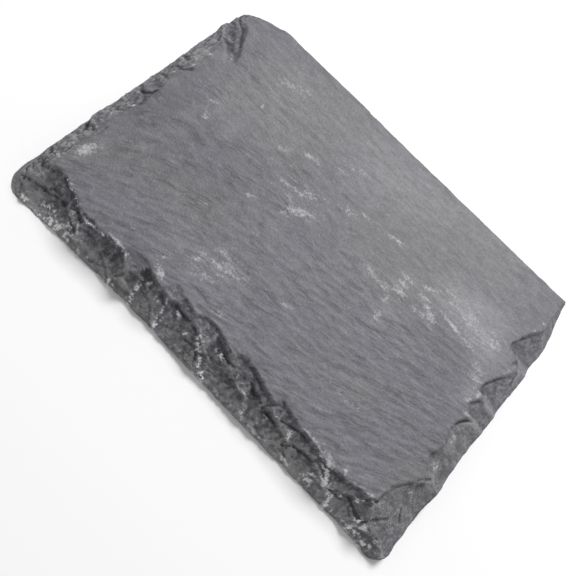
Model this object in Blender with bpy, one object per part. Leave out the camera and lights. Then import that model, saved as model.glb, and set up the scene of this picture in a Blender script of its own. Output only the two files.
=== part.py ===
"""Slate slab: one piece of split and hand-dressed natural slate, lying flat.

The slab is cleft on top, flat below, and broken on all four sides. Frame: metres, +Z up, +X along
the long side, -Y towards the widest broken edge, origin under the middle of the slab.

The top surface is the split face lowered by flake scars. A scar starts at an apex on the arris,
where the face breaks off, and opens outwards as a scoop, whose floor falls steeply at first and
then levels out. Where two scoops meet they leave a ridge. Ledges are let into the scars in the
same way. The plan is worked out a little off centre and the slab is then moved so that its box
stands on the origin.
"""

import math
from typing import NamedTuple

import bmesh
import bpy
import numpy as np
from mathutils import Vector, noise

MM = 0.001  # the lengths below are millimetres, turned to metres as the mesh is written

# Driving dimensions of the slab
LENGTH = 300.0
WIDTH = 200.0
THICKNESS = 22.0
RIM = 2.0  # least height of the upright strip at the foot of the broken edges

# Mesh: cells across the whole slab, and how many of them lie in the bands beside the edges
CELLS_X = 82
CELLS_Y = 44
WALL_ROWS = 5
BAND = 28.0  # width of the finely divided band along each edge
BAND_CELLS = 12

# Relief
LEAST_LIP = 1.5  # least plan width of a step under an arris, as wide as the mesh can show
FACE_SWELL = 0.35  # half height of the long swells of the split face
BREAK_ROUGHNESS = 0.45  # half height of the lumps on broken stone
LOW_WALL_ROUGHNESS = 0.4  # how far the layers in a low wall stand in and out
TALL_WALL_ROUGHNESS = 1.6  # the same in walls of nearly the full height
LAYER = 4.5  # thickness of the layers that the tall walls break in
FADE = 40.0  # width of the band in which the plan follows the outline

FRONT, RIGHT, LEFT = -90.0, 0.0, 180.0  # headings in degrees, as seen from above


class Mark(NamedTuple):
    """A scar or a ledge: where its arris starts, which way it opens, and how deep it goes."""

    x: float  # apex on the arris
    y: float
    heading: float  # direction in which the floor descends, in degrees
    before: float  # half width on its clockwise side, at the depth of sag
    after: float  # half width on its other side
    sag: float  # how far the arris falls back at those half widths
    skew: float  # sideways drift for each millimetre outwards
    step: float  # height of the steep step under the arris
    tilt: float  # fall of the floor for each millimetre outwards, where it starts
    bend: float = 1.6  # 1 gives a pointed arris, 3 a flat one with sharp shoulders
    lip: float = 0.8  # plan width of the step
    reach: float = 60.0  # depth below its step at which the floor would have levelled out


class Corner(NamedTuple):
    """A round corner of an outline: its two signs, and how far the round reaches along x and y."""

    right: int
    up: int
    reach_x: float
    reach_y: float


class Outline(NamedTuple):
    """A closed line round the slab.

    Each side lists how far it stands in from the plain rectangle at places along it.
    """

    corners: tuple
    front: tuple
    right: tuple
    back: tuple
    left: tuple


# Where the slab meets the ground
FOOT = Outline(
    corners=(Corner(-1, -1, 10.5, 15), Corner(1, -1, 8, 8), Corner(1, 1, 4, 4), Corner(-1, 1, 16, 16)),
    front=((-150, -0.2), (-140, -0.6), (-49, 1.6), (-10, 0.6), (62, -0.4), (116, -0.4), (133, -0.9),
           (140, -2.2), (147, -1.2)),
    right=((-100, 0.4), (-40, 0.0), (20, 0.3), (72, 0.3), (86, 2.4), (100, 5.0)),
    back=((-150, 2.2), (150, 2.2)),
    left=((-100, 0.6), (-70, 0.4), (-20, 0.0), (30, 0.3), (70, 0.0), (100, 1.0)),
)

# Where its walls end and its top begins
CROWN = Outline(
    corners=(Corner(-1, -1, 12, 13), Corner(1, -1, 9, 9), Corner(1, 1, 1, 1), Corner(-1, 1, 34, 27)),
    front=((-150, 0.0), (-140, -0.4), (-49, 1.8), (-10, 0.8), (62, -0.2), (116, -0.2), (133, -0.7),
           (140, -2.0), (147, -1.0)),
    right=((-100, 1.2), (-85, 3.6), (-40, 4.6), (62, 4.6), (71, 6.0), (84, 9.3), (95, 12.8), (100, 13.4)),
    back=((-150, 7.6), (-130, 7.2), (-118, 6.2), (-114.5, 4.8), (-38, 4.4), (-36, 4.9), (40, 4.6), (150, 3.8)),
    left=((-100, 5.4), (-90, 7.0), (-82, 8.4), (-50, 7.9), (-20, 7.2), (60, 7.4), (100, 7.2)),
)

# Scars are cut from the split face, and the deepest counts
SCARS = (
    # near edge, from the left corner to the right
    Mark(-128, -78.0, 228, 26, 26, 6.0, 0.0, 0.5, 0.82, 1.6, 1.4, 30),
    Mark(-125, -76.6, FRONT, 13, 27, 9.5, 0.0, 2.6, 1.05, 1.3, 0.8, 28),
    Mark(-90, -84.4, FRONT, 12, 14, 1.0, 0.0, 1.3, 0.22, 2.5, 0.7),
    Mark(-58, -78.6, FRONT, 18, 14, 5.0, 0.3, 0.0, 0.36, 2.0, 4.0),
    Mark(-71, -84.0, FRONT, 29, 9, 5.5, 0.2, 3.0, 1.25, 1.8, 0.8, 28),
    Mark(-51, -80.8, FRONT, 5.5, 18, 6.5, 0.3, 3.4, 1.10, 1.4, 0.8, 28),
    Mark(-35, -76.0, FRONT, 7, 15, 6.0, 0.5, 0.9, 0.26, lip=1.8),
    Mark(-27, -77.4, FRONT, 4, 8, 3.8, 0.7, 1.6, 0.50, 1.4, 0.8),
    Mark(-24, -82.2, FRONT, 20, 14, 2.4, 0.3, 5.2, 1.10, 2.0, 0.8, 28),
    Mark(-9, -76.3, FRONT, 13, 19, 7.0, 0.7, 1.6, 0.30, 2.2, 0.9),
    Mark(1, -79.4, FRONT, 5, 15, 6.0, 0.4, 3.4, 0.85, 1.4, 0.8, 28),
    Mark(-4, -90.4, FRONT, 8, 14, 4.6, 0.6, 10.0, 0.80, 1.4, 0.8, 28),
    Mark(14, -88.0, FRONT, 14, 14, 2.0, 0.4, 10.0, 0.80, 1.6, 0.8, 28),
    Mark(18, -77.3, FRONT, 9, 25, 6.7, 0.6, 2.6, 0.45, 1.6, 0.9, 30),
    Mark(33, -84.2, FRONT, 4, 10, 4.0, 0.7, 6.5, 0.90, 1.4, 0.8, 28),
    Mark(50, -80.0, FRONT, 5, 15, 3.6, 0.5, 1.6, 0.60, 1.6, 0.7, 30),
    Mark(48.4, -87.6, FRONT, 7, 10, 1.8, 0.4, 9.0, 0.80, 1.8, 0.8, 28),
    Mark(71, -83.4, FRONT, 16, 22, 5.6, 0.3, 2.4, 1.00, 1.4, 0.7, 28),
    Mark(78.3, -88.2, FRONT, 14, 14, 5.0, 0.1, 9.4, 0.90, 1.8, 0.8, 28),
    Mark(117, -83.0, FRONT, 28, 6, 3.8, 0.2, 2.4, 1.00, 1.5, 0.7, 28),
    Mark(111, -87.8, FRONT, 15, 11, 6.0, 0.1, 10.0, 0.90, 1.7, 0.8, 28),
    # near edge, by the foot
    Mark(-132, -95.5, 236, 14, 14, 3.0, 0.0, 12.5, 1.00, 2.0, 2.0, 24),
    Mark(-84, -93.4, FRONT, 22, 22, 2.5, 0.0, 12.0, 1.20, 1.5, 1.8, 28),
    Mark(-56, -94.4, FRONT, 16, 14, 2.0, 0.0, 13.5, 1.20, 1.8, 0.9, 28),
    Mark(68, -95.0, FRONT, 14, 10, 2.0, 0.0, 14.0, 1.20, 1.8, 0.9, 28),
    Mark(94, -93.2, FRONT, 16, 12, 2.4, 0.0, 13.0, 1.20, 1.8, 0.9, 28),
    Mark(130, -94.0, -84, 12, 12, 2.0, 0.0, 12.0, 1.10, 1.8, 1.8, 28),
    # right edge, from the far corner to the near one: shallow, with thin steps
    Mark(135.5, 84, RIGHT, 22, 60, 2.0, 0.0, 0.8, 0.80),
    Mark(125.2, 47, RIGHT, 8, 20, 9.5, 0.0, 1.4, 0.34, 1.2),
    Mark(126.5, 11.5, RIGHT, 7, 17, 8.5, 0.0, 1.4, 0.36, 1.2),
    Mark(128.0, -4, RIGHT, 5, 8, 6.0, 0.0, 1.2, 0.34),
    Mark(127.6, -20.5, RIGHT, 15, 12, 5.6, 0.0, 1.2, 0.38),
    Mark(128.0, -41.5, RIGHT, 11, 11, 5.0, 0.0, 1.1, 0.38),
    Mark(122.2, -79.5, -22, 16, 26, 2.0, 0.0, 1.4, 0.62, 3.0, reach=24),
    # left edge, from the near corner to the far one: a soft shoulder
    Mark(-129.5, -62, LEFT, 30, 26, 3.0, 0.0, 0.6, 0.42, lip=2.2),
    Mark(-129.0, -10, LEFT, 22, 22, 3.0, 0.0, 0.8, 0.42, lip=1.6),
    Mark(-129.5, 32, LEFT, 26, 34, 3.0, 0.0, 0.6, 0.40, lip=2.2),
    Mark(-131.0, 74, LEFT, 30, 30, 4.0, 0.0, 0.3, 0.36, lip=3.0),
    # far left corner: the face rolls over, and a wedge-shaped chip is let into it
    Mark(-116, 88, 140, 40, 30, 8.0, 0.0, 0.0, 0.22, 2.0, 6.0),
    Mark(-114.5, 49.5, 141, 9, 9, 25.0, 0.0, 1.5, 0.08, 1.2, 1.2),
)

# Ledges drop the broken stone further, each on top of what is already cut away
LEDGES = (
    # near edge
    Mark(-114.0, -85.6, FRONT, 24, 10, 3.6, 0.1, 1.8, 0.10, 1.5, 0.7),
    Mark(-74.0, -96.4, 240, 5, 7, 2.0, 0.0, 1.0, 0.0, 2.6, 0.6),
    Mark(-57.0, -87.4, -60, 9, 7, 2.2, 0.0, 1.2, 0.0, 2.6, 0.6),
    Mark(-100, -92.4, -60, 10, 12, 2.6, 0.0, 1.2, 0.0, 2.6, 0.6),
    Mark(68, -93.6, -130, 7, 6, 2.0, 0.0, 1.3, 0.0, 2.6, 0.6),
    # left edge
    Mark(-136.5, -49.0, LEFT, 4, 6, 2.2, 0.0, 1.6, 0.0, lip=0.6),
    Mark(-130.5, -22.0, 160, 8, 7, 2.0, 0.0, 0.8, 0.0, lip=0.6),
    # right edge
    Mark(133.6, 38.0, RIGHT, 7, 10, 3.0, 0.0, 0.9, 0.0, lip=0.6),
    Mark(134.6, 4.0, RIGHT, 6, 9, 3.0, 0.0, 0.8, 0.0, lip=0.6),
    Mark(134.2, -29.0, RIGHT, 9, 9, 3.0, 0.0, 0.8, 0.0, lip=0.6),
    Mark(133.0, -56.0, -10, 9, 12, 3.0, 0.0, 1.0, 0.0, lip=0.6),
)


def smooth(value):
    """Smooth step from 0 to 1 as the value goes from 0 to 1."""
    t = np.clip(value, 0.0, 1.0)
    return t * t * (3.0 - 2.0 * t)


def cut_depth(mark, x, y):
    """Depth a scar or ledge cuts to: its step, smoothed over its lip, plus its hollow floor."""
    angle = math.radians(mark.heading)
    out_x, out_y = math.cos(angle), math.sin(angle)
    outwards = (x - mark.x) * out_x + (y - mark.y) * out_y
    along = -(x - mark.x) * out_y + (y - mark.y) * out_x - mark.skew * outwards
    half_width = np.where(along < 0.0, mark.before, mark.after)
    past = outwards - mark.sag * (np.abs(along) / half_width) ** mark.bend
    floor = 1.0 - np.exp(-mark.tilt * np.maximum(past, 0.0) / mark.reach)
    return mark.step * smooth(past / max(mark.lip, LEAST_LIP)) + mark.reach * floor


def drop_below_face(x, y):
    """Depth of the broken edges below the split face, for arrays of places in plan."""
    drop = np.zeros_like(x)
    for scar in SCARS:
        drop = np.maximum(drop, cut_depth(scar, x, y))
    cut = smooth(drop / 2.0)
    for ledge in LEDGES:
        drop += cut * cut_depth(ledge, x, y)
    return drop


def noise_at(points, wavelength, seed):
    """Smooth noise between -1 and 1 at each row of an array of points."""
    offset = Vector((seed * 17.3, seed * -9.1, seed * 5.7))
    return np.array([noise.noise(Vector(point) / wavelength + offset) for point in points])


def graded(fraction, full, cells):
    """Place along a side for a fraction from 0 to 1, with the cells closer together in the bands."""
    cell = fraction * cells
    inner_cell = (full - 2.0 * BAND) / (cells - 2.0 * BAND_CELLS)
    near = cell * BAND / BAND_CELLS
    inner = BAND + (cell - BAND_CELLS) * inner_cell
    far = full - (cells - cell) * BAND / BAND_CELLS
    place = np.where(cell < BAND_CELLS, near, np.where(cell > cells - BAND_CELLS, far, inner))
    return place - full / 2.0


def round_corner(x, y, corner):
    """Press the square corner of the plan into a quarter ellipse, leaving the rest where it is."""
    u = np.clip((corner.right * x - LENGTH / 2.0) / corner.reach_x + 1.0, 0.0, 1.0)
    v = np.clip((corner.up * y - WIDTH / 2.0) / corner.reach_y + 1.0, 0.0, 1.0)
    shift_x = u * (np.sqrt(1.0 - v * v / 2.0) - 1.0) * corner.reach_x
    shift_y = v * (np.sqrt(1.0 - u * u / 2.0) - 1.0) * corner.reach_y
    return x + corner.right * shift_x, y + corner.up * shift_y


def follow(outline, x, y):
    """Turn the plain rectangle into an outline: round its corners, then set its sides in."""
    for corner in outline.corners:
        x, y = round_corner(x, y, corner)
    share_x = np.clip((np.abs(x) - LENGTH / 2.0) / FADE + 1.0, 0.0, 1.0) ** 2
    share_y = np.clip((np.abs(y) - WIDTH / 2.0) / FADE + 1.0, 0.0, 1.0) ** 2
    set_x = np.where(x > 0.0, -np.interp(y, *zip(*outline.right)), np.interp(y, *zip(*outline.left)))
    set_y = np.where(y > 0.0, -np.interp(x, *zip(*outline.back)), np.interp(x, *zip(*outline.front)))
    return x + share_x * set_x, y + share_y * set_y


def shape_lattice(unit):
    """Turn lattice points of the unit cube, rows of x, y and z from 0 to 1, into the slab."""
    plain_x, plain_y = graded(unit[:, 0], LENGTH, CELLS_X), graded(unit[:, 1], WIDTH, CELLS_Y)
    foot_x, foot_y = follow(FOOT, plain_x, plain_y)
    top_x, top_y = follow(CROWN, plain_x, plain_y)
    flat = np.stack([top_x, top_y, np.zeros_like(top_x)], axis=1)

    drop = drop_below_face(top_x, top_y)
    broken = smooth(drop / 4.0)
    drop += FACE_SWELL * (1.0 + noise_at(flat, 55.0, 1))
    drop += broken * BREAK_ROUGHNESS * (noise_at(flat, 9.0, 2) + noise_at(flat, 4.5, 3))
    top_z = THICKNESS - drop
    top_z = np.maximum(top_z, RIM * (1.0 + 0.25 * noise_at(flat, 14.0, 4)))

    height = unit[:, 2]
    x = foot_x + (top_x - foot_x) * height
    y = foot_y + (top_y - foot_y) * height
    z = top_z * height

    in_wall = (height > 0.01) & (height < 0.99)
    tall = smooth((top_z - 6.0) / 10.0)
    depth = LOW_WALL_ROUGHNESS + (TALL_WALL_ROUGHNESS - LOW_WALL_ROUGHNESS) * tall
    layers = noise_at(np.stack([x / 16.0, y / 16.0, z / LAYER], axis=1), 1.0, 5)
    inwards = np.where(in_wall, depth * np.clip(0.4 + 1.6 * layers, 0.0, 1.6), 0.0)
    x -= inwards * np.clip(x / (LENGTH / 2.0), -1.0, 1.0) ** 5
    y -= inwards * np.clip(y / (WIDTH / 2.0), -1.0, 1.0) ** 5
    return np.stack([x, y, z], axis=1)


def fit_to_size(points):
    """Bring the slab's box to the driving dimensions exactly, standing on z = 0."""
    low, high = points.min(axis=0), points.max(axis=0)
    size = np.array([LENGTH, WIDTH, THICKNESS])
    centre = np.array([0.5, 0.5, 0.0])
    return (points - low) / (high - low) * size - centre * size


def cut_across(mesh, axis, cells):
    """Cut every edge that runs along one axis into equal cells."""
    edges = [
        edge for edge in mesh.edges
        if abs(edge.verts[0].co[axis] - edge.verts[1].co[axis]) > 0.5
    ]
    bmesh.ops.subdivide_edges(mesh, edges=edges, cuts=cells - 1, use_grid_fill=True)


def make_slab(collection, material):
    """Build the slab from a cube: cut it into a lattice, shape it, and clean its flat underside."""
    mesh = bmesh.new()
    bmesh.ops.create_cube(mesh, size=1.0)
    for axis, cells in enumerate((CELLS_X, CELLS_Y, WALL_ROWS)):
        cut_across(mesh, axis, cells)

    unit = np.array([vert.co for vert in mesh.verts]) + 0.5
    points = fit_to_size(shape_lattice(unit)) * MM
    for vert, point in zip(mesh.verts, points):
        vert.co = point

    underside = [face for face in mesh.faces if all(abs(v.co.z) < 1e-7 for v in face.verts)]
    bmesh.ops.dissolve_faces(mesh, faces=underside)
    bmesh.ops.triangulate(mesh, faces=mesh.faces)
    bmesh.ops.recalc_face_normals(mesh, faces=mesh.faces)

    data = bpy.data.meshes.new("slate_slab")
    mesh.to_mesh(data)
    mesh.free()
    data.materials.append(material)
    slab = bpy.data.objects.new("slate_slab", data)
    collection.objects.link(slab)
    return slab


def make_slate():
    """Cleft slate: a dull blue-grey stone."""
    material = bpy.data.materials.new("slate")
    material.use_nodes = True
    shader = material.node_tree.nodes["Principled BSDF"]
    shader.inputs["Base Color"].default_value = (0.176, 0.174, 0.190, 1.0)
    shader.inputs["Roughness"].default_value = 0.72
    shader.inputs["Metallic"].default_value = 0.0
    return material


def main():
    """Clear the scene and build the slab in its own collection."""
    for old in list(bpy.data.objects):
        bpy.data.objects.remove(old, do_unlink=True)
    collection = bpy.data.collections.new("slate_slab")
    bpy.context.scene.collection.children.link(collection)
    make_slab(collection, make_slate())


main()
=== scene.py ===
"""Looks of the slate slab: its split face, broken edges, stone finish, floor, light and camera.

The slab is worked out as one surface over its plan. The split face is lowered along its sides by
flake scars, each a scoop that starts at an apex on the arris and opens outwards, and by ledges let
into those scars. The broken stone is then roughened by cracks, crumbling and the thin layers that
slate breaks in. Plan sizes are in millimetres, with the near edge at -y. Meshes are in metres.
"""

from __future__ import annotations

import logging
import math
from dataclasses import asdict, dataclass
from enum import Enum

import bpy
import numpy as np
from mathutils import Matrix, Vector


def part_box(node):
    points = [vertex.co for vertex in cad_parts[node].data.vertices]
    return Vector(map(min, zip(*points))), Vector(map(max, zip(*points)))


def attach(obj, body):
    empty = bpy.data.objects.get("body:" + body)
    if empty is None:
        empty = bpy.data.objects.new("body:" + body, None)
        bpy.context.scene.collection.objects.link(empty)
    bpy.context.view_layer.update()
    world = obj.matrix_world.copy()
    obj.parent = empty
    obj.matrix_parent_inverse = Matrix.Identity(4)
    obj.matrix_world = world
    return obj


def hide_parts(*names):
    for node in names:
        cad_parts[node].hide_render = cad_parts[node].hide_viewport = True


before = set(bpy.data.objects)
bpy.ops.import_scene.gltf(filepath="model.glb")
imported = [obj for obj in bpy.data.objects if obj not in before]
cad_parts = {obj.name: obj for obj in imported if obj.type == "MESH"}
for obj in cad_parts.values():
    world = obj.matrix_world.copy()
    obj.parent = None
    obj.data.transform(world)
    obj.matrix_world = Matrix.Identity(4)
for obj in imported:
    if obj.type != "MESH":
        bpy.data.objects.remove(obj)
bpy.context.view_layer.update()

LOG = logging.getLogger("slate_slab")
MM = 0.001
Array = np.ndarray
Stations = tuple[tuple[float, float], ...]
Socket = bpy.types.NodeSocket
Sockets = dict[str, bpy.types.NodeSocket]


class Heading(Enum):
    """Direction in which a scar opens, in degrees as seen from above."""

    FRONT = -90.0
    RIGHT = 0.0
    LEFT = 180.0


# --------------------------------------------------------------------------- arrays


def rise(value: Array, start: float = 0.0, end: float = 1.0) -> Array:
    """Go from 0 where a value is at its start to 1 where it is at its end, and stay level outside.

    Between them it is 3t^2 - 2t^3, where t is the share of the way from start to end.

    Args:
        value: What is read, such as a place in plan.
        start: The value that gives 0.
        end: The value that gives 1. It may be less than start.

    Returns:
        Values from 0 to 1, in the shape of value.
    """
    t = np.clip((value - start) / (end - start), 0.0, 1.0)
    return t * t * (3.0 - 2.0 * t)


def gradient_noise(x: Array, y: Array, seed: int) -> Array:
    """Smooth noise over a plane.

    A random unit direction stands at each whole-number corner. A place takes, from each corner of
    its square, the dot product of that direction with the way from the corner to the place, and
    blends the four by the fifth-degree fade 6t^5 - 15t^4 + 10t^3.

    Args:
        x: First coordinate, in wavelengths.
        y: Second coordinate, in wavelengths.
        seed: Picks the directions.

    Returns:
        Values of about -0.7 to 0.7, in the shape of x.
    """
    size = 256
    angle = np.random.default_rng(seed).uniform(0.0, 2.0 * math.pi, (size, size))
    column, row = np.floor(x).astype(int), np.floor(y).astype(int)
    right, up = x - column, y - row
    fade_x, fade_y = (t * t * t * (t * (t * 6.0 - 15.0) + 10.0) for t in (right, up))

    def corner(dx: int, dy: int) -> Array:
        """Dot product of one corner's direction with the way from that corner."""
        turn = angle[(column + dx) % size, (row + dy) % size]
        return np.cos(turn) * (right - dx) + np.sin(turn) * (up - dy)

    low = corner(0, 0) + fade_x * (corner(1, 0) - corner(0, 0))
    high = corner(0, 1) + fade_x * (corner(1, 1) - corner(0, 1))
    return low + fade_y * (high - low)


def fractal(x: Array, y: Array, wavelength: float, octaves: int, seed: int) -> Array:
    """Sum of gradient noises, each with half the wavelength and half the height of the last.

    Args:
        x: First coordinate, in millimetres.
        y: Second coordinate, in millimetres.
        wavelength: Wavelength of the first noise, in millimetres.
        octaves: How many noises are added.
        seed: Seed of the first noise.

    Returns:
        Values of about -1 to 1, in the shape of x.
    """
    total = np.zeros_like(x)
    for octave in range(octaves):
        scale = 2.0**octave / wavelength
        total += gradient_noise(x * scale, y * scale, seed + octave) / 2.0**octave
    return total


def graded(half: float, spacing: Stations) -> Array:
    """Points along a line whose spacing follows a given curve.

    The spacing is read between the given places in straight lines. The running sum of one over the
    spacing counts cells, and the points are where that count passes whole numbers.

    Args:
        half: Half length of the line, which has its middle at 0.
        spacing: Spacing of the points at places along the line, in rising order.

    Returns:
        The points, in rising order.
    """
    fine = np.linspace(-half, half, 4001)
    cells = np.concatenate([[0.0], np.cumsum(np.diff(fine) / np.interp(fine[1:], *zip(*spacing)))])
    count = int(round(cells[-1]))
    return np.interp(np.arange(count + 1) * cells[-1] / count, cells, fine)


# --------------------------------------------------------------------------- broken stone


@dataclass(frozen=True)
class Mark:
    """A curved line on the slab, open to one side, from which a scar or ledge starts.

    Its apex is at x, y, and it opens towards its heading. It reaches the half widths `before` and
    `after` to either side, where it has swept outwards by its sag, and `bend` is the power of that
    curve. Its sideways distance drifts by skew for each millimetre outwards. Past the line the
    stone drops by a step over a lip, then slopes at its tilt, which levels out over its reach.
    """

    x: float
    y: float
    heading: float
    before: float
    after: float
    sag: float
    skew: float
    step: float
    tilt: float
    bend: float = 1.6
    lip: float = 0.8
    reach: float = 60.0

    def past(self, x: Array, y: Array) -> Array:
        """Distance outwards from the curved line.

        It is the distance outwards from the apex, less sag times (sideways distance over half
        width) to the power bend: 1 gives a pointed line and 3 a flat one with sharp shoulders.

        Args:
            x: Places in plan.
            y: Places in plan.

        Returns:
            The distances, less than 0 on the side of the slab.
        """
        angle = math.radians(self.heading)
        out_x, out_y = math.cos(angle), math.sin(angle)
        outwards = (x - self.x) * out_x + (y - self.y) * out_y
        along = -(x - self.x) * out_y + (y - self.y) * out_x - self.skew * outwards
        half_width = np.where(along < 0.0, self.before, self.after)
        return outwards - self.sag * (np.abs(along) / half_width) ** self.bend

    def depth(self, x: Array, y: Array) -> Array:
        """Depth it cuts to: its step, smoothed over its lip, and a slope that starts at its tilt.

        The slope levels out towards its reach: reach times (1 - exp(-tilt times distance / reach)).

        Args:
            x: Places in plan.
            y: Places in plan.

        Returns:
            The depths in millimetres, 0 on the side of the slab.
        """
        past = self.past(x, y)
        slope = 1.0 - np.exp(-self.tilt * np.maximum(past, 0.0) / self.reach)
        return self.step * rise(past, 0.0, self.lip) + self.reach * slope


FRONT, RIGHT, LEFT = Heading.FRONT.value, Heading.RIGHT.value, Heading.LEFT.value

# Scars are cut from the split face, and the deepest counts.
SCARS = (
    # near edge, from the left corner to the right
    Mark(-128, -78, 228, 26, 26, 6, 0, 0.5, 0.82, 1.6, 1.4, 30),
    Mark(-125, -76.6, FRONT, 13, 27, 9.5, 0, 2.6, 1.05, 1.3, 0.8, 28),
    Mark(-90, -84.4, FRONT, 12, 14, 1, 0, 1.3, 0.22, 2.5, 0.7),
    Mark(-58, -78.6, FRONT, 18, 14, 5, 0.3, 0, 0.36, 2, 4),
    Mark(-71, -84, FRONT, 29, 9, 5.5, 0.2, 3, 1.25, 1.8, 0.8, 28),
    Mark(-51, -80.8, FRONT, 8.5, 18, 6.5, 0.3, 3.4, 1.1, 1.4, 0.8, 28),
    Mark(-35, -76, FRONT, 7, 15, 6, 0.5, 0.9, 0.26, lip=1.8),
    Mark(-27, -77.4, FRONT, 4, 8, 3.8, 0.7, 1.6, 0.5, 1.4, 0.8),
    Mark(-24, -82.2, FRONT, 20, 14, 2.4, 0.3, 5.2, 1.1, 2, 0.8, 28),
    Mark(-9, -76.3, FRONT, 13, 19, 7, 0.7, 1.6, 0.3, 2.2, 0.9),
    Mark(1, -79.4, FRONT, 5, 15, 6, 0.4, 3.4, 0.85, 1.4, 0.8, 28),
    Mark(-4, -90.4, FRONT, 8, 14, 4.6, 0.6, 10, 0.8, 1.4, 0.8, 28),
    Mark(14, -88, FRONT, 14, 14, 2, 0.4, 10, 0.8, 1.6, 0.8, 28),
    Mark(18, -77.3, FRONT, 9, 25, 6.7, 0.6, 2.6, 0.45, 1.6, 0.9, 30),
    Mark(33, -84.2, FRONT, 4, 10, 4, 0.7, 6.5, 0.9, 1.4, 0.8, 28),
    Mark(50, -80, FRONT, 5, 15, 3.6, 0.5, 1.6, 0.6, 1.6, 0.7, 30),
    Mark(48.4, -87.6, FRONT, 7, 10, 1.8, 0.4, 9, 0.8, 1.8, 0.8, 28),
    Mark(71, -83.4, FRONT, 16, 22, 5.6, 0.3, 2.4, 1, 1.4, 0.7, 28),
    Mark(78.3, -88.2, FRONT, 14, 14, 5, 0.1, 9.4, 0.9, 1.8, 0.8, 28),
    Mark(117, -83, FRONT, 28, 6, 3.8, 0.2, 2.4, 1, 1.5, 0.7, 28),
    Mark(111, -87.8, FRONT, 15, 11, 6, 0.1, 10, 0.9, 1.7, 0.8, 28),
    # near edge, by the foot
    Mark(-132, -95.5, 236, 14, 14, 3, 0, 12.5, 1, 2, 2, 24),
    Mark(-84, -93.4, FRONT, 22, 22, 2.5, 0, 12, 1.2, 1.5, 1.8, 28),
    Mark(-56, -94.4, FRONT, 16, 14, 2, 0, 13.5, 1.2, 1.8, 0.9, 28),
    Mark(68, -95, FRONT, 14, 10, 2, 0, 14, 1.2, 1.8, 0.9, 28),
    Mark(94, -93.2, FRONT, 16, 12, 2.4, 0, 13, 1.2, 1.8, 0.9, 28),
    Mark(130, -94, -84, 12, 12, 2, 0, 12, 1.1, 1.8, 1.8, 28),
    # right edge, from the far corner to the near one: shallow, with thin steps
    Mark(135.5, 84, RIGHT, 22, 60, 2, 0, 0.8, 0.8),
    Mark(125.2, 47, RIGHT, 8, 20, 9.5, 0, 1.1, 0.34, 1.3),
    Mark(137, 34, RIGHT, 16, 14, 2, 0, 0.4, 0.55, lip=1.5),
    Mark(126.5, 11.5, RIGHT, 7, 17, 8.5, 0, 1.1, 0.36, 1.3),
    Mark(128, -4, RIGHT, 5, 8, 6, 0, 1.2, 0.34),
    Mark(127.6, -20.5, RIGHT, 15, 12, 5.6, 0, 1.2, 0.38),
    Mark(128, -41.5, RIGHT, 11, 11, 5, 0, 1.1, 0.38),
    Mark(121.6, -75, -14, 22, 16.7, 5, 0, 1.2, 0.74, 1.8, reach=24),
    # left edge, from the near corner to the far one: a soft shoulder
    Mark(-129.5, -62, LEFT, 30, 26, 3, 0, 0.6, 0.42, lip=2.2),
    Mark(-129, -10, LEFT, 22, 22, 3, 0, 0.8, 0.42, lip=1.6),
    Mark(-129.5, 32, LEFT, 26, 34, 3, 0, 0.6, 0.4, lip=2.2),
    Mark(-131, 74, LEFT, 30, 30, 4, 0, 0.3, 0.36, lip=3),
    # far left corner: the face rolls over, and a wedge-shaped chip is let into it
    Mark(-116, 88, 140, 40, 30, 8, 0, 0, 0.22, 2, 6),
    Mark(-114.5, 49.5, 141, 9, 9, 25, 0, 0.95, 0.11, 1.2, 1.7),
)

# Ledges drop the broken stone further, each on top of what is already cut away.
LEDGES = (
    # near edge
    Mark(-114, -85.6, FRONT, 24, 10, 3.6, 0.1, 1.8, 0.1, 1.5, 0.7),
    Mark(-74, -96.4, 240, 5, 7, 2, 0, 1, 0, 2.6, 0.6),
    Mark(-57, -87.4, -60, 9, 7, 2.2, 0, 1.2, 0, 2.6, 0.6),
    Mark(-100, -92.4, -60, 10, 12, 2.6, 0, 1.2, 0, 2.6, 0.6),
    # left edge
    Mark(-136.5, -49, LEFT, 4, 6, 2.2, 0, 1.6, 0, lip=0.6),
    Mark(-130.5, -22, 160, 8, 7, 2, 0, 0.8, 0, lip=0.6),
    # right edge
    Mark(133.5, -57, -20, 5, 5, 3, 0, 0.8, 0, 2.6, lip=0.6),
)


@dataclass(frozen=True)
class Crack:
    """A narrow crack or thin undercut ledge along a chain of places."""

    places: tuple[tuple[float, float], ...]
    half_width: float
    deepest: float

    def depth(self, x: Array, y: Array) -> Array:
        """Depth it cuts: its deepest times exp(-(d / half width)^2), d being the way to its chain.

        The way to each straight piece is measured to the foot of the perpendicular, held between
        the piece's ends, and the shortest counts.

        Args:
            x: Places in plan.
            y: Places in plan.

        Returns:
            The depths in millimetres.
        """
        nearest = np.full_like(x, 1e6)
        for (ax, ay), (bx, by) in zip(self.places, self.places[1:]):
            dx, dy = bx - ax, by - ay
            share = np.clip(((x - ax) * dx + (y - ay) * dy) / (dx * dx + dy * dy), 0.0, 1.0)
            nearest = np.minimum(nearest, (x - ax - share * dx) ** 2 + (y - ay - share * dy) ** 2)
        return self.deepest * np.exp(-nearest / self.half_width**2)


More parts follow.
